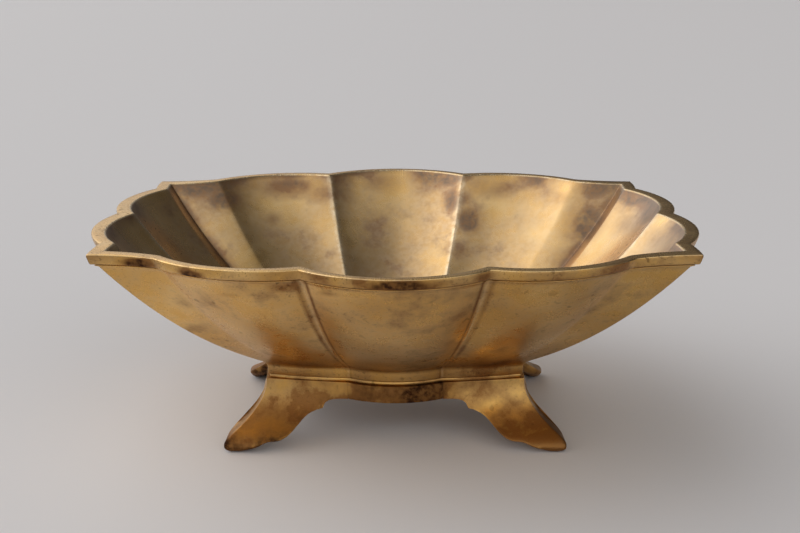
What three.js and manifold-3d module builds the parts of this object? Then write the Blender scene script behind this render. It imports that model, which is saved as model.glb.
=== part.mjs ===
// A small oblong brass dish: a lobed, wide-mouthed bowl with a rim band, raised on a low stand
// of four splayed bracket feet. Millimetres, +Z up, +X along the length, origin on the surface
// that the feet stand on, under the middle of the bowl.
import * as THREE from 'three';
import { mergeVertices } from 'three/addons/utils/BufferGeometryUtils.js';
import Module from 'manifold-3d';

const wasm = await Module();
wasm.setup();

// ---- Driving dimensions -------------------------------------------------------------------

// One quarter of the rim in plan, from the middle of the short end round to the long side.
const rimCorners = {
  endCrease: [86.3, 0],
  notch: [82.3, 37.3],
  earTip: [82.8, 49.6],
  earRoot: [64, 53.2],
  sideCrease: [24.6, 64.2],
};
// How far each stretch of the rim bulges past its chord: end lobe, ear end, ear side,
// corner lobe and middle lobe. A negative rise is hollow.
const rimRises = [4.8, 0.3, -0.9, 5.7, 9.4];

// The same quarter along the inner edge of the flat lip, which is wider at the ends.
const lipCorners = {
  endCrease: [81.1, 0],
  notch: [78.3, 36.5],
  earTip: [78.9, 45.2],
  earRoot: [62.8, 49.9],
  sideCrease: [24.2, 60.6],
};
const lipRises = [5.3, 0, -0.7, 6.2, 10.5];

// The same quarter at the foot of the bowl.
const baseCorners = {
  endCrease: [40.3, 0],
  notch: [39.6, 13.5],
  earTip: [38.9, 19],
  earRoot: [33, 20.4],
  sideCrease: [14.1, 22.7],
};
const baseRises = [0.4, 0, 0, 0.4, 3.6];
const arcSteps = [6, 2, 2, 7, 8];

const rimTop = 65.9;
const bandHeight = 2.9;
const neckTop = 23.5;
const neckBottom = 19.9;
const innerFoot = 26.1;      // where the inner face of the wall meets the floor
const neckThickness = 2.2;
const floorTop = 25.4;
const floorUnderside = 23;
const solderGap = 0.1;       // the film between two seated pieces

const apronTop = 18.6;
const apronBottom = 13.4;
const apronThickness = 2;
const apronProud = 0.4;      // how far the stand's face stands outside the foot of the bowl
const collarInset = 0.5;
const collarWidth = 4;

// A foot has a wing along the side of the stand and a narrower one along its end. Each wing's
// toe: how far it stands out, how far out its inner face comes, the height of its tip and the
// two ends of its flat sole. Its bracket: how far out it starts, and its share of full width.
const sideWing = { reach: 14, innerReach: 9.5, tip: 1.2, sole: [12.6, 8.8], notch: 0, width: 1 };
const endWing = { reach: 12.3, innerReach: 8.2, tip: 2.8, sole: [9.2, 5.6], notch: 4.5, width: 0.45 };
const toeHeight = 2.8;
const footCurve = 2.25;      // power of the hollow sweep of the foot's face
const innerCurve = 1.7;
const jointGap = 0.3;
const solderRadius = 1;

// ---- Plan outlines ------------------------------------------------------------------------

// Points on the arc from one corner towards the next, without the last point. The rise is
// measured to the right of the way from start to end, which is outward on these outlines.
function arcPoints(start, end, rise, steps) {
  const chord = [end[0] - start[0], end[1] - start[1]];
  const length = Math.hypot(...chord);
  const outward = [chord[1] / length, -chord[0] / length];
  const points = [];
  for (let i = 0; i < steps; i += 1) {
    const share = i / steps;
    let bulge = 0;
    if (rise !== 0) {
      const radius = (length * length / 4 + rise * rise) / (2 * Math.abs(rise));
      const across = (share - 0.5) * length;
      bulge = Math.sign(rise) * (Math.sqrt(radius * radius - across * across) - radius) + rise;
    }
    points.push([
      start[0] + chord[0] * share + outward[0] * bulge,
      start[1] + chord[1] * share + outward[1] * bulge,
    ]);
  }
  return points;
}

// The whole outline, mirrored from one quarter, anticlockwise from the end crease on +X.
function outline(corners, rises) {
  const quarter = Object.values(corners);
  const returning = quarter.slice(1).reverse();
  const half = [...quarter, ...returning.map(([x, y]) => [-x, y])];
  const round = [...half, ...half.map(([x, y]) => [-x, -y])];
  const halfRises = [...rises, ...rises.slice(0, -1).reverse()];
  const halfSteps = [...arcSteps, ...arcSteps.slice(0, -1).reverse()];
  return round.flatMap((start, i) => {
    const end = round[(i + 1) % round.length];
    return arcPoints(start, end, halfRises[i % halfRises.length], halfSteps[i % halfSteps.length]);
  });
}

// The outline drawn in towards the middle: by the distance at its ends and at its sides.
function drawnIn(points, distance) {
  const halfLength = Math.max(...points.map(([x]) => x));
  const halfWidth = Math.max(...points.map(([, y]) => y));
  return points.map(([x, y]) => [
    x * (1 - distance / halfLength),
    y * (1 - distance / halfWidth),
  ]);
}

const rimOutline = outline(rimCorners, rimRises);
const lipOutline = outline(lipCorners, lipRises);
const baseOutline = outline(baseCorners, baseRises);

function level(points, height) {
  return points.map(([x, y]) => [x, y, height]);
}

// A ring part of the way from the foot of the bowl (0) to an outline at the rim (1).
function ringTowards(top, share, height) {
  return baseOutline.map(([x, y], i) => [
    x + (top[i][0] - x) * share,
    y + (top[i][1] - y) * share,
    height,
  ]);
}

// How much of its height the wall has gained: nearly straight low down, steeper at the rim.
function climb(share) {
  return 0.6 * share + 0.4 * share ** 2.3;
}

function outerWall(share) {
  return ringTowards(rimOutline, share, neckTop + (rimTop - neckTop) * climb(share));
}

function innerWall(share) {
  return ringTowards(lipOutline, share, innerFoot + (rimTop - innerFoot) * climb(share));
}

// ---- Solids from rings --------------------------------------------------------------------

function geometryOf(positions, indices) {
  const geometry = new THREE.BufferGeometry();
  geometry.setAttribute('position', new THREE.Float32BufferAttribute(positions, 3));
  geometry.setIndex(indices);
  return geometry;
}

// Faces between two rings that follow each other up the outside of a solid.
function bridge(indices, lower, upper, count) {
  for (let i = 0; i < count; i += 1) {
    const next = (i + 1) % count;
    indices.push(lower + i, lower + next, upper + next);
    indices.push(lower + i, upper + next, upper + i);
  }
}

// A closed band: the rings go up its outside, down its inside and back to the first.
function bandSolid(rings) {
  const count = rings[0].length;
  const indices = [];
  rings.forEach((ring, i) => bridge(indices, i * count, ((i + 1) % rings.length) * count, count));
  return geometryOf(rings.flat(2), indices);
}

// A closed vessel: the rings start round a lower centre and end round an upper one.
function vesselSolid(rings, lowerCentre, upperCentre) {
  const count = rings[0].length;
  const indices = [];
  rings.slice(1).forEach((ring, i) => bridge(indices, i * count, (i + 1) * count, count));
  const lower = rings.length * count;
  const upper = lower + 1;
  const last = lower - count;
  for (let i = 0; i < count; i += 1) {
    const next = (i + 1) % count;
    indices.push(lower, next, i);
    indices.push(upper, last + i, last + next);
  }
  return geometryOf([...rings, [lowerCentre, upperCentre]].flat(2), indices);
}

// ---- Bowl ---------------------------------------------------------------------------------

const bandBottom = rimTop - bandHeight;
const seatOuterShare = 0.951;  // where the outer face of the wall reaches the band
const seatInnerShare = 0.95;

function bowlShell() {
  const shares = [0, 0.08, 0.2, 0.34, 0.48, 0.62, 0.76, 0.88];
  const underside = drawnIn(baseOutline, neckThickness);
  const seat = bandBottom - solderGap;
  const rings = [
    level(underside, floorUnderside),
    level(underside, neckBottom),
    level(baseOutline, neckBottom),
    ...shares.map(outerWall),
    ringTowards(rimOutline, seatOuterShare, seat),
    ringTowards(lipOutline, seatInnerShare, seat),
    ...shares.slice(1).reverse().map(innerWall),
    level(underside, floorTop + 0.3),
  ];
  return vesselSolid(rings, [0, 0, floorUnderside], [0, 0, floorTop]);
}

// The band stands proud of the wall below it and has a flat top.
function lipBand() {
  return bandSolid([
    ringTowards(lipOutline, seatInnerShare, bandBottom),
    ringTowards(rimOutline, 0.985, bandBottom),
    ringTowards(rimOutline, 0.997, bandBottom + 0.9),
    level(rimOutline, rimTop - 0.3),
    ringTowards(rimOutline, 0.996, rimTop),
    level(lipOutline, rimTop),
  ]);
}

// ---- Stand --------------------------------------------------------------------------------

const collarOuter = drawnIn(baseOutline, collarInset);
const collarInner = drawnIn(baseOutline, collarInset + collarWidth);

function plinthCollar() {
  const bottom = apronTop + solderGap;
  const top = neckBottom - solderGap;
  return bandSolid([
    level(collarInner, bottom),
    level(collarOuter, bottom),
    level(collarOuter, top),
    level(collarInner, top),
  ]);
}

// The bead that holds the bowl's neck to the collar, on the inside where it doesn't show.
function neckSolder() {
  const outer = drawnIn(baseOutline, neckThickness + solderGap * 2);
  const inner = drawnIn(baseOutline, neckThickness + 1.8);
  return bandSolid([
    level(inner, neckBottom),
    level(outer, neckBottom),
    level(outer, neckBottom + 1.6),
  ]);
}

function solidOf(geometry) {
  const plain = geometry.clone();
  plain.deleteAttribute('normal');
  plain.deleteAttribute('uv');
  const merged = mergeVertices(plain, 1e-5);
  return new wasm.Manifold(new wasm.Mesh({
    numProp: 3,
    vertProperties: merged.attributes.position.array,
    triVerts: Uint32Array.from(merged.index.array),
  }));
}

function geometryFrom(solid) {
  const mesh = solid.getMesh();
  return geometryOf(Array.from(mesh.vertProperties), Array.from(mesh.triVerts));
}

// Extrudes a shape along a direction: the shape's x runs along across, its y is up.
function prism(shape, across, along, origin, from, length) {
  const geometry = new THREE.ExtrudeGeometry(shape, {
    depth: length,
    bevelEnabled: false,
    curveSegments: 5,
  });
  const turn = new THREE.Matrix4().makeBasis(across, new THREE.Vector3(0, 0, 1), along);
  geometry.translate(0, 0, from);
  geometry.applyMatrix4(turn);
  geometry.translate(origin.x, origin.y, 0);
  return solidOf(geometry);
}

const standCorner = new THREE.Vector2(
  baseCorners.earTip[0] + apronProud,
  baseCorners.earTip[1] + apronProud,
);
const sideJoint = new THREE.Vector2(baseCorners.sideCrease[0], baseCorners.sideCrease[1] + apronProud);
const endJoint = new THREE.Vector2(baseCorners.endCrease[0] + apronProud, baseCorners.endCrease[1]);

// A wing's outer face: upright at the apron, sweeping out to the toe.
function outerFace(wing, height) {
  const drop = Math.min(1, (apronTop - height) / (apronTop - toeHeight));
  return wing.reach * drop ** footCurve;
}

function innerFace(wing, height) {
  const drop = (apronTop - height) / apronTop;
  return (wing.innerReach + apronThickness) * drop ** innerCurve - apronThickness;
}

// Side view of everything behind one face of a wing, between two heights.
function behindFace(face, wing, depth, low, high) {
  const shape = new THREE.Shape();
  shape.moveTo(-depth, low);
  shape.lineTo(face(wing, Math.max(low, 0)), low);
  const steps = 9;
  for (let i = 0; i <= steps; i += 1) {
    const height = apronTop * i / steps;
    shape.lineTo(face(wing, height), height + (i === steps ? high - apronTop : 0));
  }
  shape.lineTo(-depth, high);
  return shape;
}

// What is left of a foot when it is seen square on to one wing, where the other wing's toe
// points away to the side: the toe, a flat sole, a heel and a stepped bracket that runs into
// the apron. Distances are outward from the stand's corner.
function elevation(seen, pointing, end, far) {
  const [soleEnd, heel] = pointing.sole;
  const inward = (distance) => seen.notch - distance * seen.width;
  const shape = new THREE.Shape();
  shape.moveTo(far, pointing.tip);
  shape.lineTo(pointing.reach, pointing.tip);
  shape.quadraticCurveTo(pointing.reach - pointing.tip / 4, 0, soleEnd, 0);
  shape.lineTo(heel, 0);
  shape.quadraticCurveTo(inward(0) + (heel - inward(0)) * 0.4, 0.2, inward(0), 3.4);
  shape.quadraticCurveTo(inward(5.8), 2.6, inward(8.8), 5.6);
  shape.quadraticCurveTo(inward(12.3), 10.2, inward(17.2), 10.8);
  shape.lineTo(inward(17.9), 12.2);
  shape.quadraticCurveTo(inward(19), apronBottom, inward(22), apronBottom);
  shape.lineTo(-end, apronBottom);
  shape.lineTo(-end, apronTop + 1);
  shape.lineTo(far, apronTop + 1);
  return shape;
}

const up = new THREE.Vector3(0, 0, 1);

// The foot under the +X +Y corner: two mitred wings, cut to their elevations.
function cornerFoot() {
  const reach = 60;
  const sideRun = new THREE.Vector3(standCorner.x - sideJoint.x, standCorner.y - sideJoint.y, 0).normalize();
  const endRun = new THREE.Vector3(endJoint.x - standCorner.x, endJoint.y - standCorner.y, 0).normalize();
  const sideOut = up.clone().cross(sideRun);
  const endOut = up.clone().cross(endRun);
  const cornerSolid = (face, depth, low, high) => {
    const behindSide = behindFace(face, sideWing, depth, low, high);
    const behindEnd = behindFace(face, endWing, depth, low, high);
    return prism(behindSide, sideOut, sideRun, standCorner, -depth, 2 * depth)
      .intersect(prism(behindEnd, endOut, endRun, standCorner, -depth, 2 * depth));
  };
  const outer = cornerSolid(outerFace, reach, 0, apronTop);
  const inner = cornerSolid(innerFace, reach + 5, -1, apronTop + 1);
  const far = 30;
  const sideEnd = standCorner.x - sideJoint.x - jointGap;
  const endEnd = standCorner.y - endJoint.y - jointGap / 2;
  const sideView = elevation(sideWing, endWing, sideEnd, far);
  const endView = elevation(endWing, sideWing, endEnd, far);
  const back = new THREE.Vector3(0, -1, 0);
  const right = new THREE.Vector3(1, 0, 0);
  const north = new THREE.Vector3(0, 1, 0);
  const foot = outer.subtract(inner)
    .intersect(prism(sideView, right, back, standCorner, -reach, 2 * reach))
    .intersect(prism(endView, north, right, standCorner, -reach, 2 * reach));
  return geometryFrom(foot);
}

// The strip between two feet on a long side. It bows out with the middle lobe of the bowl.
function sideApron() {
  const end = sideJoint.x - jointGap / 2;
  const steps = arcSteps[4];
  const rise = baseRises[4];
  const outerArc = [...arcPoints([end, sideJoint.y], [-end, sideJoint.y], rise, steps), [-end, sideJoint.y]];
  const innerY = sideJoint.y - apronThickness;
  const innerArc = [...arcPoints([end, innerY], [-end, innerY], rise, steps), [-end, innerY]];
  const shape = new THREE.Shape([...outerArc, ...innerArc.reverse()].map(([x, y]) => new THREE.Vector2(x, y)));
  const geometry = new THREE.ExtrudeGeometry(shape, { depth: apronTop - apronBottom, bevelEnabled: false });
  return geometry.translate(0, 0, apronBottom);
}

// A run of solder up the back of a joint.
function jointSolder(x, y) {
  const height = apronTop - apronBottom - 1;
  const geometry = new THREE.CylinderGeometry(solderRadius, solderRadius, height, 10);
  geometry.rotateX(Math.PI / 2);
  return geometry.translate(x, y, (apronTop + apronBottom) / 2);
}

// ---- Assembly -----------------------------------------------------------------------------

// A mirrored copy, with its faces turned back outward when the copy is left-handed.
function mirrored(geometry, signX, signY) {
  const copy = geometry.clone();
  copy.deleteAttribute('normal');
  copy.deleteAttribute('uv');
  const merged = mergeVertices(copy, 1e-5);
  merged.scale(signX, signY, 1);
  if (signX * signY < 0) {
    const index = merged.index.array;
    for (let i = 0; i < index.length; i += 3) {
      [index[i + 1], index[i + 2]] = [index[i + 2], index[i + 1]];
    }
  }
  return merged;
}

const agedBrass = new THREE.MeshStandardMaterial({ color: 0xa98548, roughness: 0.38, metalness: 1 });
const wornBrass = new THREE.MeshStandardMaterial({ color: 0xb9965a, roughness: 0.32, metalness: 1 });
const standBrass = new THREE.MeshStandardMaterial({ color: 0x94703a, roughness: 0.42, metalness: 1 });
const solder = new THREE.MeshStandardMaterial({ color: 0x8a7d63, roughness: 0.55, metalness: 1 });

const dish = new THREE.Group();

function add(name, geometry, material) {
  const mesh = new THREE.Mesh(geometry, material);
  mesh.name = name;
  dish.add(mesh);
}

add('bowl_shell', bowlShell(), agedBrass);
add('lip_band', lipBand(), wornBrass);
add('plinth_collar', plinthCollar(), standBrass);
add('neck_solder', neckSolder(), solder);

const foot = cornerFoot();
const apron = sideApron();
const sideSolder = jointSolder(sideJoint.x, sideJoint.y - apronThickness - solderRadius - jointGap);
const endSolder = jointSolder(endJoint.x - apronThickness - solderRadius - jointGap, 0);
const sides = [['front', -1], ['back', 1]];
const ends = [['left', -1], ['right', 1]];
for (const [side, signY] of sides) {
  add(`apron_${side}`, mirrored(apron, 1, signY), standBrass);
  for (const [end, signX] of ends) {
    add(`foot_${side}_${end}`, mirrored(foot, signX, signY), standBrass);
    add(`joint_solder_${side}_${end}`, mirrored(sideSolder, signX, signY), solder);
  }
}
for (const [end, signX] of ends) {
  add(`joint_solder_${end}_end`, mirrored(endSolder, signX, 1), solder);
}

export default dish;
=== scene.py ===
"""The looks of a small footed brass bowl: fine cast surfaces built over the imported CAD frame,
aged brass materials, a pale table and soft light from a window on the left.

Lengths are in metres. Plan shapes are given as shares of the half sizes that the frame holds.
"""

import math

import bpy
import numpy as np
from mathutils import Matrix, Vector, noise


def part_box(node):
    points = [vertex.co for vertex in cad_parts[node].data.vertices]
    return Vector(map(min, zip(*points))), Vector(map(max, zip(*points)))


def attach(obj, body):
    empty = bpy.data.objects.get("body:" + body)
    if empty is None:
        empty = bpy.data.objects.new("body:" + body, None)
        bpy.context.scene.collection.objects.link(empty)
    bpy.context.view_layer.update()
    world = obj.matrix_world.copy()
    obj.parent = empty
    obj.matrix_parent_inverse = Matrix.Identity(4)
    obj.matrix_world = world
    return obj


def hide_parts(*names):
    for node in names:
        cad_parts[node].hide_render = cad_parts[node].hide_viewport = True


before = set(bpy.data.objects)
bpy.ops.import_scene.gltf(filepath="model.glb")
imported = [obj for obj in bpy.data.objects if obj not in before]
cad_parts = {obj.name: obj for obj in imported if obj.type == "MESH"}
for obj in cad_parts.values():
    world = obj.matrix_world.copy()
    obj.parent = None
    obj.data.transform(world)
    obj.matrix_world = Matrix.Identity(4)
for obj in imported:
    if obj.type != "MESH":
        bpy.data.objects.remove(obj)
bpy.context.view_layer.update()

MM = 0.001

# ---- Sizes read from the frame ---------------------------------------------------------------

BAND_LOW, BAND_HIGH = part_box("lip_band")
SHELL_LOW, SHELL_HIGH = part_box("bowl_shell")
COLLAR_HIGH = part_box("plinth_collar")[1]
SOLDER_LOW, SOLDER_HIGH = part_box("neck_solder")
FOOT_LOW, FOOT_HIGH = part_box("foot_back_right")
APRON_LOW, APRON_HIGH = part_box("apron_back")

RIM_HALF = (BAND_HIGH.x, BAND_HIGH.y)
RIM_TOP = BAND_HIGH.z
BAND_BOTTOM = BAND_LOW.z
COLLAR_INSET = 0.5 * MM
BASE_HALF = (COLLAR_HIGH.x + COLLAR_INSET, COLLAR_HIGH.y + COLLAR_INSET)
NECK_BOTTOM = SHELL_LOW.z
NECK_HEIGHT = 3.6 * MM
NECK_TOP = NECK_BOTTOM + NECK_HEIGHT
APRON_TOP = APRON_HIGH.z
APRON_BOTTOM = APRON_LOW.z

# ---- Plan outlines ---------------------------------------------------------------------------

# Corners of one quarter as shares of the half length and half width: the crease in the middle
# of the short end, the notch beside the ear, the ear's tip, its root, and the long side's crease.
RIM_CORNERS = ((0.967, 0.0), (0.922, 0.507), (0.928, 0.674), (0.717, 0.723), (0.2757, 0.8723))
LIP_CORNERS = ((0.909, 0.0), (0.877, 0.496), (0.884, 0.614), (0.704, 0.678), (0.271, 0.823))
BASE_CORNERS = ((0.998, 0.0), (0.98, 0.513), (0.963, 0.722), (0.817, 0.776), (0.349, 0.863))
# How far each stretch between those corners bulges: end lobe, ear's end, ear's side, corner
# lobe and middle lobe.
RIM_RISES = (4.8 * MM, 0.3 * MM, -0.9 * MM, 5.7 * MM, 9.4 * MM)
LIP_RISES = (5.3 * MM, 0.0, -0.7 * MM, 6.2 * MM, 10.5 * MM)
BASE_RISES = (0.4 * MM, 0.0, 0.0, 0.4 * MM, 3.6 * MM)
# How many points each stretch has.
STEPS = (18, 8, 10, 24, 32)
# How many places are averaged to round a corner.
ROUNDING_POINTS = 9


def all_round(stretches):
    """Values for the stretches of one quarter, mirrored to go round the whole outline."""
    return (list(stretches) + list(reversed(stretches[:-1]))) * 2


def distance_round(plan):
    """Distance along the closed outline to each of its points, and last to the first again."""
    closed = np.vstack((plan, plan[:1]))
    return np.concatenate(([0], np.cumsum(np.hypot(*np.diff(closed, axis=0).T))))


def arc(start, end, rise, steps):
    """Points from start up to end, close together near both, on an arc bulging to the right."""
    start, end = np.array(start), np.array(end)
    chord = end - start
    length = np.hypot(*chord)
    outward = np.array((chord[1], -chord[0])) / length
    share = 0.5 - 0.5 * np.cos(np.pi * np.arange(steps) / steps)
    bulge = np.zeros(steps)
    if rise:
        radius = (length**2 / 4 + rise**2) / (2 * abs(rise))
        across = (share - 0.5) * length
        bulge = math.copysign(1, rise) * (np.sqrt(radius**2 - across**2) - radius) + rise
    return start + share[:, None] * chord + bulge[:, None] * outward


def softened(points, radii):
    """The closed outline with its corners rounded: each point is the mean of those near it."""
    closed = np.vstack((points, points[:1]))
    along = distance_round(points)
    offsets = radii[:, None] * np.linspace(-1, 1, ROUNDING_POINTS)
    places = (along[:-1, None] + offsets) % along[-1]
    return np.stack([np.interp(places, along, closed[:, k]).mean(1) for k in (0, 1)], 1)


def outline(corners, rises, half, radii):
    """The whole outline in plan, anticlockwise from the crease at the +X end.
    radii say how round the corners of one quarter are."""
    quarter = [(x * half[0], y * half[1]) for x, y in corners]
    half_round = quarter + [(-x, y) for x, y in reversed(quarter[1:])]
    corners_round = half_round + [(-x, -y) for x, y in half_round]
    next_corners = corners_round[1:] + corners_round[:1]
    steps_round = all_round(STEPS)
    stretches = zip(corners_round, next_corners, all_round(rises), steps_round)
    points = np.vstack([arc(*stretch) for stretch in stretches])
    half_radii = list(radii) + list(reversed(radii[1:]))
    corner_radii = half_radii * 2 + half_radii[:1]
    radius_round = np.concatenate([
        np.linspace(corner_radii[i], corner_radii[i + 1], steps, endpoint=False)
        for i, steps in enumerate(steps_round)
    ])
    return softened(points, radius_round)


def fitted(plan, half):
    """The outline stretched to fill the half sizes."""
    return plan * (np.array(half) / plan.max(0))


# Radii at the end crease, the notch, the ear's tip, its root and the side crease.
BAND_RADII = (0.4 * MM, 0.3 * MM, 0.15 * MM, 0.4 * MM, 0.5 * MM)
WALL_RADII = (1.0 * MM, 0.7 * MM, 0.35 * MM, 0.9 * MM, 0.9 * MM)
INNER_RADII = (1.0 * MM, 0.8 * MM, 0.5 * MM, 1.0 * MM, 0.6 * MM)
FOOT_RADII = (0.8 * MM, 0.5 * MM, 0.35 * MM, 0.5 * MM, 1.0 * MM)
RIM_PLAN = fitted(outline(RIM_CORNERS, RIM_RISES, RIM_HALF, BAND_RADII), RIM_HALF)
WALL_PLAN = outline(RIM_CORNERS, RIM_RISES, RIM_HALF, WALL_RADII)
LIP_PLAN = outline(LIP_CORNERS, LIP_RISES, RIM_HALF, INNER_RADII)
BASE_PLAN = fitted(outline(BASE_CORNERS, BASE_RISES, BASE_HALF, FOOT_RADII), BASE_HALF)


def drawn_in(plan, distance):
    """The outline drawn in towards the middle: by the distance at its ends and at its sides."""
    return plan * (1 - distance / plan.max(0))


def blend(low, high, share):
    return low + (high - low) * share


def ring(plan, height):
    return np.column_stack((plan, np.full(len(plan), height)))


def climb(share):
    """How much of its height the wall has gained: nearly straight low down, steeper at the rim."""
    return 0.6 * share + 0.4 * share**2.3


# ---- Mesh building ---------------------------------------------------------------------------


def make_object(name, points, faces, smooth=True):
    mesh = bpy.data.meshes.new(name)
    mesh.from_pydata([tuple(p) for p in points], [], faces)
    mesh.polygons.foreach_set("use_smooth", [smooth] * len(mesh.polygons))
    mesh.update()
    obj = bpy.data.objects.new(name, mesh)
    bpy.context.scene.collection.objects.link(obj)
    return obj


def bridge(lower, upper, count):
    return [
        (lower + i, lower + (i + 1) % count, upper + (i + 1) % count, upper + i)
        for i in range(count)
    ]


def band_object(name, rings):
    """A closed band: the rings go up its outside, down its inside and back to the first."""
    count = len(rings[0])
    faces = []
    for i in range(len(rings)):
        faces += bridge(i * count, ((i + 1) % len(rings)) * count, count)
    return make_object(name, np.vstack(rings), faces)


def sharpen_ring(obj, row, count):
    """Makes one ring's edges sharp, so the hidden seat beyond it doesn't shade the wall."""
    for edge in obj.data.edges:
        if all(vertex // count == row for vertex in edge.vertices):
            edge.use_edge_sharp = True


def vessel_object(name, rings):
    """A closed vessel: the rings start round a lower middle point and end round an upper one."""
    count = len(rings[0])
    faces = []
    for i in range(len(rings) - 1):
        faces += bridge(i * count, (i + 1) * count, count)
    lower = len(rings) * count
    last = lower - count
    faces += [(lower, (i + 1) % count, i) for i in range(count)]
    faces += [(lower + 1, last + i, last + (i + 1) % count) for i in range(count)]
    middles = np.array(((0, 0, rings[0][:, 2].mean()), (0, 0, rings[-1][:, 2].mean())))
    return make_object(name, np.vstack(rings + [middles]), faces)


def curve_points(start, control, end, steps):
    """Points on a quadratic curve, without its start."""
    start, control, end = map(np.array, (start, control, end))
    t = np.arange(1, steps + 1)[:, None] / steps
    return (1 - t) ** 2 * start + 2 * t * (1 - t) * control + t**2 * end


# ---- The bowl --------------------------------------------------------------------------------

FLOOR_TOP = 25.4 * MM
FLOOR_UNDERSIDE = 23.0 * MM
NECK_THICKNESS = 2.2 * MM
NECK_EASE = 0.3 * MM
NECK_FILLET = 1.6 * MM
INNER_FOOT = 26.1 * MM
SEAT = SHELL_HIGH.z
# Places on the wall as shares of the way from the base (0) out to the rim (1).
FILLET_SHARE = 0.045
FLOOR_SHARE = 0.06
FLOOR_EDGE_SHARE = -0.14
SEAT_OUTER_SHARE = 0.951
SEAT_INNER_SHARE = 0.947
WALL_TOP_SHARE = SEAT_OUTER_SHARE - 0.012
GROOVE_SHARE = SEAT_OUTER_SHARE - 0.004
# The shell's rings are counted from the middle of its underside, up the outside and back down.
UNDERSIDE_ROWS = 9
FILLET_ROWS = 7
WALL_ROWS = 44
SEAT_EDGE_ROWS = 2
GROOVE_ROW = UNDERSIDE_ROWS + FILLET_ROWS + WALL_ROWS - 1 + SEAT_EDGE_ROWS
INNER_LIP_ROW = GROOVE_ROW + 3
FLOOR_ROWS = 8


def wall_height(share):
    return NECK_TOP + (RIM_TOP - NECK_TOP) * climb(share)


def inner_height(share):
    return INNER_FOOT + (RIM_TOP - INNER_FOOT) * climb(share)


def wall_ring(plan, share, height):
    """A ring part of the way from the base out to a plan at the rim."""
    return ring(blend(BASE_PLAN, plan, share), height)


def underside_rings():
    """From the middle of the floor's underside down inside the neck and round its foot."""
    underside = drawn_in(BASE_PLAN, NECK_THICKNESS)
    rings = [ring(underside * share, FLOOR_UNDERSIDE) for share in (0.3, 0.6, 0.85, 0.97)]
    return rings + [
        ring(underside, FLOOR_UNDERSIDE - 0.5 * MM),
        ring(underside, NECK_BOTTOM + NECK_EASE),
        ring(drawn_in(BASE_PLAN, NECK_THICKNESS - NECK_EASE), NECK_BOTTOM),
        ring(drawn_in(BASE_PLAN, NECK_EASE), NECK_BOTTOM),
        ring(BASE_PLAN, NECK_BOTTOM + NECK_EASE),
    ]


def outside_rings():
    """From the neck's fillet up the wall to the edge of the seat and the dark groove in it."""
    fillet_end = (FILLET_SHARE, wall_height(FILLET_SHARE))
    fillet = curve_points((0, NECK_TOP - NECK_FILLET), (0, NECK_TOP), fillet_end, FILLET_ROWS)
    rings = [wall_ring(WALL_PLAN, share, height) for share, height in fillet]
    for share in np.linspace(FILLET_SHARE, WALL_TOP_SHARE, WALL_ROWS)[1:]:
        rings.append(wall_ring(WALL_PLAN, share, wall_height(share)))
    seat_edge = blend(BASE_PLAN, fitted(WALL_PLAN, RIM_HALF), SEAT_OUTER_SHARE + 0.01)
    return rings + [
        ring(seat_edge, SEAT - 0.42 * MM),
        ring(seat_edge, SEAT - 0.3 * MM),
        wall_ring(WALL_PLAN, GROOVE_SHARE, SEAT - 0.08 * MM),
        wall_ring(WALL_PLAN, GROOVE_SHARE, SEAT),
    ]


def inside_rings():
    """From the hidden seat down the inside of the wall and in over the floor."""
    groove = blend(BASE_PLAN, WALL_PLAN, GROOVE_SHARE)
    inner_lip = blend(BASE_PLAN, LIP_PLAN, SEAT_INNER_SHARE)
    rings = [
        ring(blend(groove, inner_lip, 0.9), SEAT),
        ring(inner_lip, inner_height(SEAT_INNER_SHARE)),
    ]
    for share in np.linspace(SEAT_INNER_SHARE - 0.004, FLOOR_SHARE, WALL_ROWS):
        rings.append(wall_ring(LIP_PLAN, share, inner_height(share)))
    wall_foot = (FLOOR_SHARE, inner_height(FLOOR_SHARE))
    floor_curve = curve_points(wall_foot, (0.0, INNER_FOOT), (FLOOR_EDGE_SHARE, FLOOR_TOP), FLOOR_ROWS)
    rings += [wall_ring(LIP_PLAN, share, height) for share, height in floor_curve]
    return rings + [ring(rings[-1][:, :2] * share, FLOOR_TOP) for share in (0.8, 0.55, 0.3)]


def bowl_shell():
    vessel = vessel_object("bowl_shell_fine", underside_rings() + outside_rings() + inside_rings())
    sharpen_ring(vessel, INNER_LIP_ROW, len(WALL_PLAN))
    return vessel


# The band's rings go from its inner seat out, up its face, in over its top and down its inside.
BAND_FACE_ROW = 3
BAND_ARRIS_ROW = 10
BAND_INNER_ARRIS_ROW = 15
BAND_TOP_EDGE = 0.9945


def band_face():
    """Up the filed face, leaning out a little, to the small rounded arris at its top."""
    return [
        (0.972, BAND_BOTTOM),
        (0.982, BAND_BOTTOM + 0.05 * MM),
        (0.987, BAND_BOTTOM + 0.35 * MM),
        (0.993, BAND_BOTTOM + 1.1 * MM),
        (0.9975, BAND_BOTTOM + 1.9 * MM),
        (1.0, RIM_TOP - 0.75 * MM),
        (1.0, RIM_TOP - 0.3 * MM),
        (0.9985, RIM_TOP - 0.08 * MM),
        (BAND_TOP_EDGE, RIM_TOP),
    ]


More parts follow.
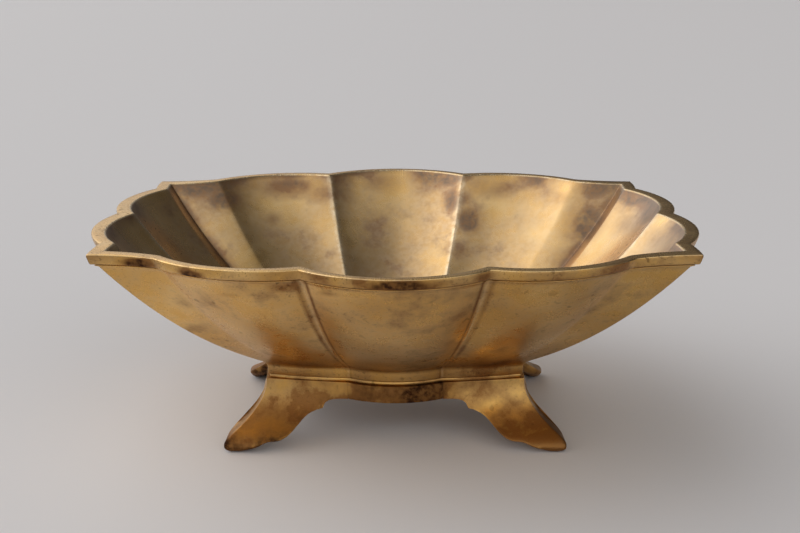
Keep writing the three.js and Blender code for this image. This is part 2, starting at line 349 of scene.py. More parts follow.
def lip_band():
    """The rim band: a filed face, a flat top and a short inner face, with small arrises."""
    seat_inner = blend(BASE_PLAN, LIP_PLAN, SEAT_INNER_SHARE)
    seat_outer = blend(BASE_PLAN, WALL_PLAN, SEAT_OUTER_SHARE)
    rings = [
        ring(seat_inner, inner_height(SEAT_INNER_SHARE)),
        ring(blend(seat_inner, seat_outer, 0.1), BAND_BOTTOM),
        ring(seat_outer, BAND_BOTTOM),
    ]
    rings += [wall_ring(RIM_PLAN, share, height) for share, height in band_face()]
    top_outer = blend(BASE_PLAN, RIM_PLAN, BAND_TOP_EDGE)
    rings += [ring(blend(LIP_PLAN, top_outer, share), RIM_TOP) for share in (0.7, 0.4, 0.14)]
    rings.append(ring(blend(LIP_PLAN, top_outer, 0.02), RIM_TOP - 0.1 * MM))
    rings += [wall_ring(LIP_PLAN, share, inner_height(share)) for share in (0.992, 0.975, 0.95)]
    band = band_object("lip_band_fine", rings)
    sharpen_ring(band, 0, len(RIM_PLAN))
    return band


# ---- The stand -------------------------------------------------------------------------------


COLLAR_WIDTH = 4 * MM
COLLAR_EASE = 0.2 * MM
SOLDER_INSET = NECK_THICKNESS + 0.2 * MM
SOLDER_WIDTH = 1.6 * MM


def plinth_collar():
    """A flat band with its four edges eased, filling the gap between the stand and the neck."""
    outer = drawn_in(BASE_PLAN, COLLAR_INSET)
    inner = drawn_in(BASE_PLAN, COLLAR_INSET + COLLAR_WIDTH)
    near_outer = blend(inner, outer, 0.94)
    near_inner = blend(inner, outer, 0.06)
    return band_object("plinth_collar_fine", [
        ring(near_inner, APRON_TOP),
        ring(near_outer, APRON_TOP),
        ring(outer, APRON_TOP + COLLAR_EASE),
        ring(outer, NECK_BOTTOM - COLLAR_EASE),
        ring(near_outer, NECK_BOTTOM),
        ring(near_inner, NECK_BOTTOM),
        ring(inner, NECK_BOTTOM - COLLAR_EASE),
        ring(inner, APRON_TOP + COLLAR_EASE),
    ])


def neck_solder():
    """A bead in the corner between the neck and the collar, with a hollow face."""
    outer = drawn_in(BASE_PLAN, SOLDER_INSET)
    inner = drawn_in(BASE_PLAN, SOLDER_INSET + SOLDER_WIDTH)
    section = ((0.0, 0.0), (1.0, 0.0), (1.0, 1.0), (0.62, 0.52), (0.3, 0.2))
    return band_object("neck_solder_fine", [
        ring(blend(inner, outer, across), blend(SOLDER_LOW.z, SOLDER_HIGH.z, up))
        for across, up in section
    ])


# How far out the toe and its inner side reach from the corner, to the side and to the end.
SIDE_REACH, END_REACH = 14.0 * MM, 12.3 * MM
SIDE_INNER, END_INNER = 9.5 * MM, 8.2 * MM
TOE_HEIGHT = 2.8 * MM
APRON_THICKNESS = 2.0 * MM
APRON_PROUD = 0.4 * MM
CORNER = np.array((
    BASE_HALF[0] * BASE_CORNERS[2][0] + APRON_PROUD,
    BASE_HALF[1] * BASE_CORNERS[2][1] + APRON_PROUD,
))
SIDE_JOINT = np.array((FOOT_LOW.x, BASE_HALF[1] * BASE_CORNERS[4][1] + APRON_PROUD))
END_JOINT = np.array((BASE_HALF[0] * BASE_CORNERS[0][0] + APRON_PROUD, FOOT_LOW.y))


def outer_sweep(height):
    """How far along its way out the foot's face is: upright at the apron, hollow to the toe."""
    return min(1.0, (APRON_TOP - height) / (APRON_TOP - TOE_HEIGHT)) ** 2.25


def inner_sweep(height):
    return ((APRON_TOP - height) / APRON_TOP) ** 1.7


def outer_offset(height):
    return np.array((END_REACH, SIDE_REACH)) * outer_sweep(height)


def inner_offset(height):
    reach = np.array((END_INNER, SIDE_INNER)) + APRON_THICKNESS
    return reach * inner_sweep(height) - APRON_THICKNESS


# The foot's lower edge inward from the notch behind its heel, in millimetres: distances in from
# the notch and heights. It runs under a pad, up an arch, over a small step and along the apron.
NOTCH_HEIGHT = 3.4
PAD_BEND, PAD_END = (5.8, 2.6), (8.8, 5.6)
ARCH_BEND, ARCH_END = (12.3, 10.2), (17.2, 10.8)
STEP_TOP = (17.9, 12.2)
RUN_BEND, RUN_START = (19, 13.4), (22, 13.4)
RUN_END = (-40, 13.4)
SHORT_CURVE, LONG_CURVE, STEP_CURVE = 9, 12, 6


def wing_contour(reach, tip, sole, notch, width):
    """The lower edge of a foot seen square on, as distances out from the corner and heights.
    reach and tip place the end of the toe, sole has the two ends of its flat sole, notch is
    where it rises behind the heel, and width stretches the rest along the wing."""
    sole_end, heel = sole

    def inward(point):
        return notch - point[0] * width, point[1]

    toe = curve_points((reach, tip), (reach - tip / 4, 0.0), (sole_end, 0.0), SHORT_CURVE)
    heel_bend = (blend(notch, heel, 0.4), 0.2)
    heel_curve = curve_points((heel, 0), heel_bend, (notch, NOTCH_HEIGHT), SHORT_CURVE)
    pad = curve_points((notch, NOTCH_HEIGHT), inward(PAD_BEND), inward(PAD_END), LONG_CURVE)
    arch = curve_points(inward(PAD_END), inward(ARCH_BEND), inward(ARCH_END), LONG_CURVE)
    step = [inward(STEP_TOP)]
    run = curve_points(inward(STEP_TOP), inward(RUN_BEND), inward(RUN_START), STEP_CURVE)
    outward_end, heel_point = [(reach, tip)], [(heel, 0)]
    points = (outward_end, toe, heel_point, heel_curve, pad, arch, step, run, [RUN_END])
    return np.vstack(points)[::-1] * MM


# How far from the joint, as a share of the wing, the foot's face takes its full sweep.
FLUSH_SHARE = 0.6
# How many heights are tried to find the lower edge, how many points a section has down its
# outer face, across its lower edge and up its inner face, and how many sections a wing has.
HEIGHT_STEPS = 260
OUTER_POINTS, EDGE_POINTS, INNER_POINTS = 26, 7, 14
WING_SECTIONS = 64
# The side wing's lower edge is seen from the front, and the end wing's from the end.
SIDE_CONTOUR = wing_contour(12.3, 2.8, (9.2, 5.6), 0.0, 1.0)
END_CONTOUR = wing_contour(14.0, 1.2, (12.6, 8.8), 4.5, 0.45)


def lowest_height(place):
    """Height at which a line down a face, given by place(height), meets the foot's lower edge."""
    for height in np.linspace(APRON_TOP, 0, HEIGHT_STEPS):
        if height <= edge_height(place(height)):
            return height
    return 0.0


def edge_height(point):
    side = np.interp(point[0] - CORNER[0], SIDE_CONTOUR[:, 0], SIDE_CONTOUR[:, 1])
    end = np.interp(point[1] - CORNER[1], END_CONTOUR[:, 0], END_CONTOUR[:, 1])
    return max(side, end)


def foot_section(joint, axis, share):
    """A section through the foot, part of the way from a joint (0) to the mitre (1). Its face is
    flush with the apron at the joint and starts to sweep out beside it."""
    keep = np.eye(2)[axis]
    sweep = 1 - (1 - min(1.0, share / FLUSH_SHARE)) ** 2

    def place(offset):
        return blend(joint + offset * keep, CORNER + offset, share)

    def outer_place(height):
        return place(outer_offset(height) * sweep)

    def inner_place(height):
        return place(inner_offset(height))

    outer_heights = np.linspace(APRON_TOP, lowest_height(outer_place), OUTER_POINTS)
    inner_heights = np.linspace(lowest_height(inner_place), APRON_TOP, INNER_POINTS)
    outer = np.array([(*outer_place(height), height) for height in outer_heights])
    inner = np.array([(*inner_place(height), height) for height in inner_heights])
    parts = np.linspace(0, 1, EDGE_POINTS + 2)[1:-1]
    across = [blend(outer[-1, :2], inner[0, :2], part) for part in parts]
    edge = [(*point, edge_height(point)) for point in across]
    return np.vstack((outer, edge, inner, [blend(outer[0], inner[-1], 0.5)]))


def corner_foot():
    """The foot under the +X +Y corner, as sections carried round both wings."""
    shares = 1 - np.linspace(1, 0, WING_SECTIONS) ** 1.25
    sections = [foot_section(SIDE_JOINT, 1, share) for share in shares]
    sections += [foot_section(END_JOINT, 0, share) for share in shares[-2::-1]]
    return worn_down(np.stack(sections))


# The foot is rounded by wear below this height, most of all at its toe.
WORN_BELOW = 10 * MM
WEAR_ROUNDS = 14
WEAR_SHARE = 0.7


def worn_down(grid):
    """The sections with their lower parts smoothed, set back on the ground and out to the toe."""
    for _ in range(WEAR_ROUNDS):
        along = np.concatenate((grid[:1], grid[:-1])) + np.concatenate((grid[1:], grid[-1:]))
        around = np.roll(grid, 1, 1) + np.roll(grid, -1, 1)
        softness = np.clip(1 - grid[..., 2:] / WORN_BELOW, 0, 1)
        grid = grid + softness * ((along + around) / 4 - grid) * WEAR_SHARE
    lift = grid[..., 2].min()
    grid[..., 2] = (grid[..., 2] - lift) * APRON_TOP / (APRON_TOP - lift)
    reach = grid[..., :2] - CORNER
    stretch = (np.array((FOOT_HIGH.x, FOOT_HIGH.y)) - CORNER) / reach.max((0, 1))
    grid[..., :2] = CORNER + np.where(reach > 0, reach * stretch, reach)
    return list(grid)


def strip_mesh(name, sections):
    """A solid carried through the sections, closed at both ends."""
    count = len(sections[0])
    faces = []
    for i in range(len(sections) - 1):
        for j in range(count):
            k = (j + 1) % count
            faces.append((i * count + j, (i + 1) * count + j, (i + 1) * count + k, i * count + k))
    faces.append(tuple(range(count)))
    faces.append(tuple(range(len(sections) * count - 1, (len(sections) - 1) * count - 1, -1)))
    return make_object(name, np.vstack(sections), faces)


def mirrored_sections(sections, sign_x, sign_y):
    flipped = [s * (sign_x, sign_y, 1) for s in sections]
    return flipped[::-1] if sign_x * sign_y < 0 else flipped


JOINT_GAP = 0.03 * MM
APRON_SECTIONS = 40


def apron_sections():
    """The strip between two feet on a long side, from end to end, bowing out in the middle."""
    right = (FOOT_LOW.x - JOINT_GAP, SIDE_JOINT[1])
    left = (-right[0], right[1])
    outer = np.vstack((arc(right, left, BASE_RISES[4], APRON_SECTIONS), [left]))
    inner = outer - (0, APRON_THICKNESS)
    return [
        np.array(((*o, APRON_BOTTOM), (*o, APRON_TOP), (*i, APRON_TOP), (*i, APRON_BOTTOM)))
        for o, i in zip(outer, inner)
    ]


# ---- Materials -------------------------------------------------------------------------------


class Nodes:
    """Short calls for building the node tree of a material or of the world."""

    def __init__(self, owner, shader_name):
        owner.use_nodes = True
        self.tree = owner.node_tree
        self.shader = self.tree.nodes[shader_name]

    def add(self, kind, inputs=None, **settings):
        node = self.tree.nodes.new(kind)
        for key, value in settings.items():
            setattr(node, key, value)
        for key, value in (inputs or {}).items():
            self.connect(value, node.inputs[key])
        return node

    def connect(self, value, socket):
        if isinstance(value, bpy.types.NodeSocket):
            self.tree.links.new(value, socket)
        else:
            socket.default_value = value

    def math(self, operation, *values):
        node = self.add("ShaderNodeMath", operation=operation)
        for i, value in enumerate(values):
            self.connect(value, node.inputs[i])
        return node.outputs[0]

    def noise(self, vector, scale, detail=4.0, roughness=0.55, distortion=0.0):
        return self.add("ShaderNodeTexNoise", {
            "Vector": vector, "Scale": scale, "Detail": detail,
            "Roughness": roughness, "Distortion": distortion,
        }).outputs["Fac"]

    def stretch(self, vector, scale):
        return self.add("ShaderNodeMapping", {"Vector": vector, "Scale": scale}).outputs[0]

    def ramp(self, value, low, high, start=0.0, end=1.0):
        return self.add("ShaderNodeMapRange", {
            "Value": value, "From Min": low, "From Max": high, "To Min": start, "To Max": end,
        }).outputs[0]

    def mix(self, factor, first, second, **settings):
        """The colours are the node's seventh and eighth sockets, and the result is its third."""
        sockets = {"Factor": factor, 6: first, 7: second}
        return self.add("ShaderNodeMix", sockets, data_type="RGBA", **settings).outputs[2]

    def attribute(self, name):
        return self.add("ShaderNodeAttribute", attribute_name=name).outputs["Fac"]

    def times(self, *values):
        return self.math("MULTIPLY", *values)

    def limited(self, value):
        return self.math("MINIMUM", self.math("MAXIMUM", value, 0.0), 1.0)

    def place(self):
        return self.add("ShaderNodeTexCoord").outputs["Object"]

    def bump(self, height, strength, distance):
        """Connects a height to the shader as fine relief."""
        sockets = {"Height": height, "Strength": strength, "Distance": distance}
        bump = self.add("ShaderNodeBump", sockets)
        self.connect(bump.outputs[0], self.shader.inputs["Normal"])


GOLD = (0.76, 0.455, 0.135, 1)
PALE_GOLD = (0.80, 0.545, 0.235, 1)
# UMBER and BLACK_BROWN also colour the painted shade beside the creases.
UMBER = (0.24, 0.098, 0.026, 1)
BLACK_BROWN = (0.055, 0.022, 0.010, 1)
# Worn metal, and also the painted highlights in the creases and on the ridges inside.
WORN_AND_HIGHLIGHT_GOLD = (0.92, 0.74, 0.48, 1)
SOLDER_DARK = (0.24, 0.20, 0.15, 1)
SOLDER_PALE = (0.40, 0.35, 0.27, 1)
TABLE_COLOUR = (0.76, 0.745, 0.745, 1)

# Noise patterns: cells to a metre, detail, roughness and distortion.
BROAD_PATCHES = (28, 3)
PATCHES = (110, 5, 0.62)
FINE_GRAIN = (520, 4, 0.6)
LARGE_PITS = (330, 2, 0.5, 0.4)
SPECKS = (1500, 3, 0.65)
LUMPS = (75, 2, 0.4)
SOLDER_LUMPS = (400, 4, 0.6)
# Scratches and file marks are patterns stretched along one way, so their own scale is 1.
SCRATCHES = (1.0, 2, 0.6, 0.6)
SCRATCH_STRETCH = (900, 60, 900)
FILE_MARKS = (1.0, 3, 0.6)
FILE_MARKS_ALONG, FILE_MARKS_UP = 2600.0, 120.0
SMOOTHEST = 0.12


def tarnish_cover(n, broad, patchy, tarnish_level):
    """How brown the metal is: in worn patches everywhere, and where stain and painted shade are painted
    on.
    """
    broken = n.math("ADD", n.times(broad, 0.55), n.times(patchy, 0.45))
    worn_patches = n.ramp(broken, 0.56 - tarnish_level, 0.72 - tarnish_level, 0.0, 0.8)
    stained = n.times(n.attribute("stain_and_shade"), n.ramp(patchy, 0.3, 0.6, 0.6, 1.4))
    return n.limited(n.math("ADD", worn_patches, stained))


def pits_and_specks(n, place, patchy):
    pitted = n.attribute("pitted")
    pits = n.times(n.ramp(n.noise(place, *LARGE_PITS), 0.66, 0.72), pitted)
    grime = n.math("ADD", n.noise(place, *SPECKS), n.times(patchy, 0.25))
    return pits, n.times(n.ramp(grime, 0.70, 0.80), pitted)


def dark_cover(n, fine, pits, specks):
    """How near black the metal is: in its pits and specks, and where the painted stain and shade are
    heaviest.
    """
    black = n.times(n.ramp(n.attribute("stain_and_shade"), 0.7, 1.1), n.ramp(fine, 0.4, 0.62, 0.3, 1.0))
    speckled = n.math("MAXIMUM", n.times(pits, 0.6), n.times(specks, 0.5))
    return n.math("MAXIMUM", black, speckled)


def brass_colour(n, patchy, tarnish, dark, bright):
    gold = n.mix(n.ramp(patchy, 0.38, 0.66), GOLD, PALE_GOLD)
    colour = n.mix(n.times(tarnish, 0.9), gold, UMBER)
    colour = n.mix(n.math("MINIMUM", dark, 1.0), colour, BLACK_BROWN)
    return n.mix(bright, colour, WORN_AND_HIGHLIGHT_GOLD)


def brass_roughness(n, patchy, tarnish, dark, bright, base_roughness):
    """Duller where it is brown or black, and smoother where it is worn bright and where a highlight is
    painted.
    """
    dull = n.math("ADD", n.times(tarnish, 0.12), n.times(dark, 0.3))
    uneven = n.ramp(patchy, 0.3, 0.7, -0.05, 0.06)
    rough = n.math("ADD", n.math("ADD", uneven, dull), base_roughness)
    rough = n.math("SUBTRACT", rough, n.times(bright, 0.12))
    return n.math("MAXIMUM", rough, SMOOTHEST)


def filing(n):
    """Fine upright file marks on the band, which run up its face."""
    stretched = n.add("ShaderNodeCombineXYZ", {
        "X": n.times(n.attribute("along"), FILE_MARKS_ALONG),
        "Y": n.times(n.attribute("up_profile"), FILE_MARKS_UP),
    })
    return n.noise(stretched.outputs[0], *FILE_MARKS)


def brass_relief(n, place, fine, pits, specks, file_marks):
    """Casting lumps, grain, scratches and pits, and file marks where there are any."""
    scratches = n.noise(n.stretch(place, SCRATCH_STRETCH), *SCRATCHES)
    holes = n.times(n.math("MAXIMUM", pits, specks), -0.6)
    height = n.math("ADD", n.times(n.noise(place, *LUMPS), 1.6), n.times(fine, 0.16))
    height = n.math("ADD", height, n.math("ADD", n.times(scratches, 0.1), holes))
    if file_marks:
        height = n.math("ADD", height, n.times(filing(n), file_marks))
    return height


def brass(name, base_roughness, tarnish_level, file_marks):
    """Aged cast brass: patchy gold, brown tarnish, painted shade, near-black spots, pits, scratches,
    worn edges and painted highlights. tarnish_level is how much of it is brown, and file_marks
    how deep the filing is."""
    material = bpy.data.materials.new(name)
    n = Nodes(material, "Principled BSDF")
    place = n.place()
    patchy = n.noise(place, *PATCHES)
    fine = n.noise(place, *FINE_GRAIN)
    tarnish = tarnish_cover(n, n.noise(place, *BROAD_PATCHES), patchy, tarnish_level)
    pits, specks = pits_and_specks(n, place, patchy)
    dark = dark_cover(n, fine, pits, specks)
    bright = n.times(n.attribute("wear_and_highlight"), n.ramp(fine, 0.34, 0.6, 0.35, 1.0))
    rough = brass_roughness(n, patchy, tarnish, dark, bright, base_roughness)
    n.connect(brass_colour(n, patchy, tarnish, dark, bright), n.shader.inputs["Base Color"])
    n.connect(1.0, n.shader.inputs["Metallic"])
    n.connect(rough, n.shader.inputs["Roughness"])
    n.connect(n.attribute("lacquer"), n.shader.inputs["Coat Weight"])
    n.connect(0.3, n.shader.inputs["Coat Roughness"])
    n.bump(brass_relief(n, place, fine, pits, specks, file_marks), 0.35, 0.3 * MM)
    return material


def solder_material():
    """Dull grey-brown solder, a little lumpy."""
    material = bpy.data.materials.new("dull_solder")
    n = Nodes(material, "Principled BSDF")
    patchy = n.noise(n.place(), *SOLDER_LUMPS)
    colour = n.mix(n.ramp(patchy, 0.35, 0.7), SOLDER_DARK, SOLDER_PALE)
    n.connect(colour, n.shader.inputs["Base Color"])
    n.connect(1.0, n.shader.inputs["Metallic"])
    n.connect(0.55, n.shader.inputs["Roughness"])
    n.bump(patchy, 0.4, 0.2 * MM)
    return material


def table_material():
    material = bpy.data.materials.new("pale_table")
    n = Nodes(material, "Principled BSDF")
    n.connect(TABLE_COLOUR, n.shader.inputs["Base Color"])
    n.connect(0.7, n.shader.inputs["Roughness"])
    n.connect(0.2, n.shader.inputs["Specular IOR Level"])
    return material


# ---- Wear, stains, painted shade and painted highlights on the vertices ------------------------


def set_attribute(obj, name, values):
    attribute = obj.data.attributes.new(name, "FLOAT", "POINT")
    attribute.data.foreach_set("value", np.clip(values, 0, 10).astype(np.float32))


def coordinates(obj):
    flat = np.zeros(len(obj.data.vertices) * 3)
    obj.data.vertices.foreach_get("co", flat)
    return flat.reshape(-1, 3)


def rows_and_columns(points, count):
    """Which ring each point is in, and which place round it, where a ring has count points."""
    number = np.arange(len(points))
    return number // count, number % count


def share_up_wall(points):
    return np.clip((points[:, 2] - NECK_TOP) / (RIM_TOP - NECK_TOP), 0, 1)


def mottling(points, scale, seed):
    """Smooth noise at each point, about -1 to 1."""
    shift = Vector((seed * 3.7, seed * 1.9, seed * 5.3))
    return np.array([noise.noise(Vector(p) * scale + shift) for p in points])


def paint(obj, stain_and_shade, wear_and_highlight=0.0, pitted=0.6, lacquer=0.0):
    """How much stain and painted shade, wear and painted highlight, pitting and lacquer the surface has,
    at each vertex.
    """
    for name, values in (("stain_and_shade", stain_and_shade), ("wear_and_highlight", wear_and_highlight), ("pitted", pitted), ("lacquer", lacquer)):
        set_attribute(obj, name, np.broadcast_to(values, len(obj.data.vertices)))


# How many times its half size away from its middle a spot has faded out.
SPOT_END = 1.4


def blotches(points, spots):
    """Darkening at each point from spots given as x, y, z, half width, half height and strength,
    in millimetres. A spot is wide along the wall and low up it."""
    total = np.zeros(len(points))
    x, y, z = points.T / MM
    for spot_x, spot_y, spot_z, width, height, strength in spots:
        across = np.hypot(x - spot_x, y - spot_y) / width
        away = np.hypot(across, (z - spot_z) / height)
        total = np.maximum(total, strength * np.clip(SPOT_END - away, 0, 1))
    return total


# Spots on the band: black patches towards the left, red-brown over the front middle lobe.
BAND_SPOTS = (
    (1, -73, 63.6, 12, 4, 1.1), (-20, -68, 63.8, 10, 3, 0.5), (60, -56, 64, 14, 3, 0.5),
    (-69, -52, 64, 5.5, 1.8, 1.4), (-52.5, -60, 63.6, 4.2, 1.8, 1.4), (-60, -58, 65, 4, 1, 0.3),
    (-29, -63, 63.4, 5.5, 1.6, 0.55), (-4, -73, 63.9, 5, 1.6, 0.65), (5, -73, 63.6, 6, 1.7, 0.8),
    (12, -72, 64.2, 3, 1.4, 0.75), (23, -66, 64.2, 4, 2.2, 0.8), (36, -68, 63.6, 6, 1.6, 0.35),
    (30, 68, 64, 8, 2, 0.7), (-44, 66, 64, 7, 2, 0.8), (-80, 20, 64, 5, 2, 0.7),
    (86, -16, 64, 6, 2, 0.6), (2, 72, 64, 5, 2, 0.5), (76, 44, 64, 4, 2, 0.8),
)
# Spots on the outside of the wall, then on its inside.
OUTER_SPOTS = (
    (-29, -61, 60.6, 5, 2.2, 0.7), (-18, -66, 59.6, 3, 1.3, 0.8), (8, -71, 60.2, 1.2, 1.0, 1.1),
    (32, -63, 58.6, 2.6, 1.2, 1.0), (35, -60, 53, 1.8, 1.2, 0.9), (27, -52, 44, 1.6, 1.0, 0.9),
    (9, -55, 41.5, 2.4, 1.0, 0.9), (-54, -44, 46, 2.0, 1.0, 0.9), (17, -66, 55, 2.5, 2, 0.5),
    (-44, -60, 57, 3.5, 1.2, 0.6), (52, -52, 55, 4, 1.6, 0.5), (24, -60, 58, 5, 2.4, 0.45),
    (30, 60, 55, 6, 3, 0.7), (-20, 58, 48, 5, 3, 0.6), (-60, 40, 50, 5, 3, 0.7),
    (70, 10, 52, 5, 3, 0.6), (-72, -8, 54, 4, 3, 0.7), (0, 50, 36, 7, 3, 0.5),
)
INNER_SPOTS = (
    (-60, 47, 60, 9, 5, 0.9), (-38, 60, 62, 13, 4, 1.0), (-26, 58, 60, 8, 4, 0.9),
    (-44, 50, 52, 3, 2.5, 0.7), (-6, 69, 62, 8, 4, 0.8), (-5, 56, 48, 3, 2, 0.5),
    (-20, 62, 56, 6, 9, 0.7), (22, 58, 57, 7, 8, 0.9), (26, 52, 51, 6, 9, 0.9),
    (22, 44, 40, 5, 8, 0.7), (36, 62, 62, 13, 4, 0.9), (66, 38, 54, 9, 13, 0.9),
    (58, 30, 43, 7, 8, 0.7), (78, 24, 57, 8, 6, 0.5),
    (-78, 8, 54, 4, 3, 0.9), (-72, 28, 60, 6, 3, 0.6), (58, 50, 60, 6, 3, 0.6),
    (14, -56, 52, 5, 3, 0.6), (-30, -50, 56, 6, 3, 0.7), (60, -36, 55, 5, 4, 0.6),
)
# Which corners of the whole outline are creases between lobes, and which are ears' tips.
CREASES = (0, 4, 5, 9, 13, 14, 18)
EAR_TIPS = (2, 7, 11, 16)
# How far beside a crease its line of painted shade runs down the wall, and how wide that line and the
# painted highlight in the crease are, in millimetres.
DARK_LINE_AWAY, DARK_LINE_WIDTH = 1.4, 0.7
PAINTED_HIGHLIGHT_WIDTH = 0.6
EAR_STAIN_WIDTH = 5.5
RIDGE_WIDTH = 1.2
# The lines on the inside fade in from this far above the floor, over this much height.
LINES_ABOVE_FLOOR, LINES_FADE = 1 * MM, 6 * MM


def away_from(which, column):
    """Distance in millimetres round the rim from each column to the nearest of these corners."""
    along = distance_round(RIM_PLAN)
    corners = np.cumsum([0] + all_round(STEPS))
    return np.min([np.abs(along[column] - along[corners[i]]) for i in which], 0) / MM


def line(away, width):
    """A soft line: 1 at no distance, fading to nothing past its width."""
    return np.exp(-((away / width) ** 2))


def outer_paint(points, column):
    """Stain, painted shade and painted highlight of the outside: blotches, darkening low down and
    under the band, a line of painted shade beside each crease, and a faint painted highlight
    along the crease itself."""
    rise = share_up_wall(points)
    patches = mottling(points, 80, 2)
    from_crease = away_from(CREASES, column)
    fading = np.clip(1.3 - 0.8 * np.abs(rise - 0.6) + 0.3 * patches, 0, 1)
    # Painted shade: a dark line down the wall beside each crease.
    painted_crease_shade = line(from_crease - DARK_LINE_AWAY, DARK_LINE_WIDTH) * fading * 0.85
    low = np.clip(1 - rise * 6, 0, 1) * 0.3 + np.clip(0.12 + 0.3 * patches, 0, 1)
    under_band = np.clip(rise**9 * (0.2 + 0.9 * patches), 0, 1)
    stain_and_shade = np.max((blotches(points, OUTER_SPOTS), painted_crease_shade, low, under_band), 0)
    # The second value is a painted highlight: a faint bright strip along each crease.
    return stain_and_shade, line(from_crease, PAINTED_HIGHLIGHT_WIDTH) * fading * 0.25


def inner_paint(points, column):
    """Darkening and wear of the inside: brown under the rim, in blotches and in the ears' hollows,
    and worn edges on the ridges between the lobes, brightened further as a painted highlight."""
    patches = mottling(points, 45, 7) + 0.5 * mottling(points, 120, 2)
    on_wall = np.clip((points[:, 2] - FLOOR_TOP - LINES_ABOVE_FLOOR) / LINES_FADE, 0, 1)
    under_rim = share_up_wall(points) ** 5 * (0.85 + 1.6 * patches)
    spots = blotches(points, INNER_SPOTS) * (1 + 0.6 * patches)
    ears = 0.9 * on_wall * line(away_from(EAR_TIPS, column), EAR_STAIN_WIDTH)
    stain_and_shade = np.clip(np.max((under_rim, spots, ears, 0.22 + 0.5 * patches), 0), 0, 1)
    # Ridges between the lobes: worn edges, brightened further as a painted highlight.
    ridges = 0.9 * on_wall * line(away_from(CREASES, column), RIDGE_WIDTH)
    wear_and_highlight = ridges + np.clip(0.2 + 0.3 * patches, 0, 1)
    return stain_and_shade, np.clip(wear_and_highlight * (1 - 0.6 * stain_and_shade), 0, 1)


def paint_shell(shell):
    """Outside, the groove under the band is dark. Inside, the metal is lacquered and less pitted."""
    points = coordinates(shell)
    row, column = rows_and_columns(points, len(WALL_PLAN))
    inside = row >= INNER_LIP_ROW
    inner_darkening, inner_wear_and_highlight = inner_paint(points, column)
    outer_stain_and_shade, outer_painted_highlight = outer_paint(points, column)
    outer_stain_and_shade = np.where((row >= GROOVE_ROW) & ~inside, 1.0, outer_stain_and_shade)
    stain_and_shade = np.where(inside, inner_darkening, outer_stain_and_shade)
    pitted = np.where(inside, 0.1, np.clip(0.3 + outer_stain_and_shade, 0, 1))
    paint(shell, stain_and_shade, np.where(inside, inner_wear_and_highlight, outer_painted_highlight), pitted, inside)


def paint_band(band):
    """Blotched on its face, dark at its foot, worn bright on its arrises, and inside like the
    shell. It also holds the distances that the file marks follow."""
    points = coordinates(band)
    row, column = rows_and_columns(points, len(RIM_PLAN))
    set_attribute(band, "along", distance_round(RIM_PLAN)[column])
    set_attribute(band, "up_profile", points[:, 2])
    face = (row >= BAND_FACE_ROW) & (row < BAND_ARRIS_ROW)
    foot = (row > 0) & (row <= BAND_FACE_ROW)
    inside = (row == 0) | (row > BAND_INNER_ARRIS_ROW)
    patches = np.clip(mottling(points, 70, 5) + 0.35, 0, 1)
    inner_darkening, inner_wear_and_highlight = inner_paint(points, column)
    stain_and_shade = np.maximum(blotches(points, BAND_SPOTS), patches) * np.where(face, 1, 0.3)
    stain_and_shade = np.select((foot, inside), (0.8, inner_darkening), stain_and_shade)
    arrises = (row == BAND_ARRIS_ROW, row == BAND_INNER_ARRIS_ROW)
    wear_and_highlight = np.select((inside, *arrises), (inner_wear_and_highlight, 0.5, 1.0), 0.0)
    paint(band, stain_and_shade, wear_and_highlight, np.where(inside, 0.1, 0.8), inside)


# Stain along the top of the stand, from left to right in millimetres: darkest in the middle of
# the apron and clean on the right foot. The toes are brown all over, more so on the left.
STAND_STAIN = ((-39, 0.35), (-16, 0.5), (-8, 0.9), (10, 1.15), (15, 0.7), (20, 0.1), (39, 0.0))
TOE_STAIN = ((-20, 1.25), (20, 0.9))


def paint_stand(obj):
    """The stain on an apron or a foot, from that of the stand's top to that of the toes."""
    points = coordinates(obj)
    drop = np.clip(1 - points[:, 2] / APRON_TOP, 0, 1)
    patches = mottling(points, 90, 2)
    top_stain = np.interp(points[:, 0] / MM, *np.transpose(STAND_STAIN))
    toe_stain = np.interp(points[:, 0] / MM, *np.transpose(TOE_STAIN))
    paint(obj, blend(top_stain, toe_stain, drop**1.6) * (1 + 0.6 * patches), 0, 0.4)


# ---- Assembly --------------------------------------------------------------------------------

AGED = brass("aged_brass", 0.27, 0.0, 0.0)
WORN = brass("worn_brass", 0.25, 0.02, 0.5)
STAND = brass("stand_brass", 0.33, 0.10, 0.0)
SOLDER = solder_material()
COLLAR_STAIN = 0.2
APRON_EASE, FOOT_EASE = 0.45 * MM, 0.9 * MM


def finish_piece(obj, material, node):
    obj.data.materials.append(material)
    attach(obj, "root")
    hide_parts(node)


def ease_edges(obj, width):
    """Rounds the sharp edges of a piece."""
    bevel = obj.modifiers.new("eased_edges", "BEVEL")
    bevel.width = width
    bevel.segments = 3
    bevel.limit_method = "ANGLE"
    bevel.angle_limit = math.radians(40)


def build_bowl():
    shell = bowl_shell()
    paint_shell(shell)
    finish_piece(shell, AGED, "bowl_shell")
    band = lip_band()
    paint_band(band)
    finish_piece(band, WORN, "lip_band")


def build_stand():
    collar = plinth_collar()
    paint(collar, COLLAR_STAIN)
    finish_piece(collar, STAND, "plinth_collar")
    finish_piece(neck_solder(), SOLDER, "neck_solder")
    foot = corner_foot()
    apron = apron_sections()
    for side, sign_y in (("front", -1), ("back", 1)):
        strip = strip_mesh(f"apron_{side}_fine", mirrored_sections(apron, 1, sign_y))
        paint_stand(strip)
        ease_edges(strip, APRON_EASE)
        finish_piece(strip, STAND, f"apron_{side}")
        for end, sign_x in (("left", -1), ("right", 1)):
            piece = strip_mesh(f"foot_{side}_{end}_fine", mirrored_sections(foot, sign_x, sign_y))
            paint_stand(piece)
            ease_edges(piece, FOOT_EASE)
            finish_piece(piece, STAND, f"foot_{side}_{end}")


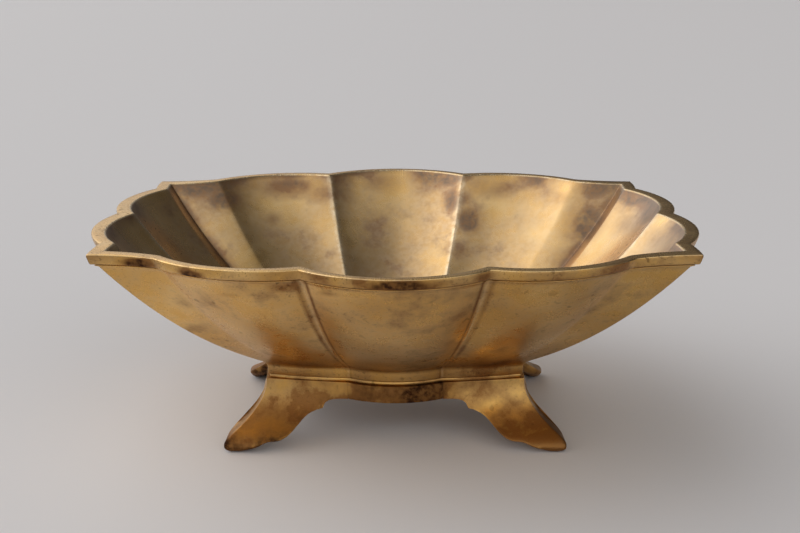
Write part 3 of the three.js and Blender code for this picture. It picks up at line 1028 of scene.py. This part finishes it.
def build_joint_solder():
    for name in sorted(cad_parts):
        if name.startswith("joint_solder"):
            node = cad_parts[name]
            node.data.materials.clear()
            node.data.materials.append(SOLDER)


# ---- Table, light and camera -------------------------------------------------------------------


def build_table():
    reach = 8.0
    corners = [(-reach, -reach, 0), (reach, -reach, 0), (reach, reach, 0), (-reach, reach, 0)]
    table = make_object("table", corners, [(0, 1, 2, 3)], smooth=False)
    table.data.materials.append(table_material())


# How bright the room is, from straight away from the window (0) to straight towards it (1).
ROOM_LIGHT = ((0.0, 0.07), (0.3, 0.09), (0.45, 0.18), (0.5, 0.36), (0.58, 0.95), (0.75, 1.3), (1.0, 2.1))
ROOM_TINT = np.array((1.0, 0.985, 0.985))
# Its directions, what share of it is left in front and near the horizon, and the fill's strength.
TO_WINDOW = (-1.0, 0.0, 0.0)
TO_BACK = (0.0, 1.0, 0.0)
FRONT_SHARE = 0.3
TO_SKY = (0.0, 0.0, 1.0)
HORIZON_HEIGHT = 0.4
HORIZON_SHARE = 0.35
TO_FILL = (0.36, -0.84, 0.4)
FILL_LIGHT = 0.85

CAMERA_PLACE = (1.4 * MM, -336.8 * MM, 143.9 * MM)
CAMERA_TILT = math.radians(74.2)


def facing(n, direction, target, low, high, style="SMOOTHSTEP"):
    """How far each direction is towards a target: 0 at the low cosine and 1 at the high one."""
    dot = n.add("ShaderNodeVectorMath", {0: direction, 1: target}, operation="DOT_PRODUCT")
    limits = {"Value": dot.outputs["Value"], "From Min": low, "From Max": high}
    return n.add("ShaderNodeMapRange", limits, interpolation_type=style).outputs[0]


def mixed(n, style, factor, colour, grey):
    """A colour multiplied by a grey, or with it added, as far as the factor says."""
    return n.mix(factor, colour, (grey, grey, grey, 1), blend_type=style, clamp_factor=False)


def room_ramp(n, share):
    ramp = n.add("ShaderNodeValToRGB", {0: share})
    ramp.color_ramp.interpolation = "EASE"
    while len(ramp.color_ramp.elements) < len(ROOM_LIGHT):
        ramp.color_ramp.elements.new(0.5)
    for element, (position, light) in zip(ramp.color_ramp.elements, ROOM_LIGHT):
        element.position = position
        element.color = (*light * ROOM_TINT, 1)
    return ramp.outputs[0]


def build_light():
    """A room that is bright towards the window on the left and dim away from it, in front and
    near the horizon, with a weak soft fill from above the camera's side."""
    world = bpy.data.worlds.new("room")
    bpy.context.scene.world = world
    n = Nodes(world, "Background")
    direction = n.add("ShaderNodeTexCoord").outputs["Generated"]
    room = room_ramp(n, facing(n, direction, TO_WINDOW, -1, 1, "LINEAR"))
    to_front = facing(n, direction, TO_BACK, -0.1, -0.8)
    room = mixed(n, "MULTIPLY", to_front, room, FRONT_SHARE)
    low = facing(n, direction, TO_SKY, HORIZON_HEIGHT, 0)
    room = mixed(n, "MULTIPLY", low, room, HORIZON_SHARE)
    filled = mixed(n, "ADD", facing(n, direction, TO_FILL, 0.5, 1), room, FILL_LIGHT)
    n.connect(filled, n.shader.inputs["Color"])


def build_camera():
    data = bpy.data.cameras.new("camera")
    data.sensor_width = 36
    data.lens = 50
    camera = bpy.data.objects.new("camera", data)
    camera.location = CAMERA_PLACE
    camera.rotation_euler = (CAMERA_TILT, 0, 0)
    bpy.context.scene.collection.objects.link(camera)
    bpy.context.scene.camera = camera


build_bowl()
build_stand()
build_joint_solder()
build_table()
build_light()
build_camera()
bpy.context.scene.view_settings.view_transform = "Standard"
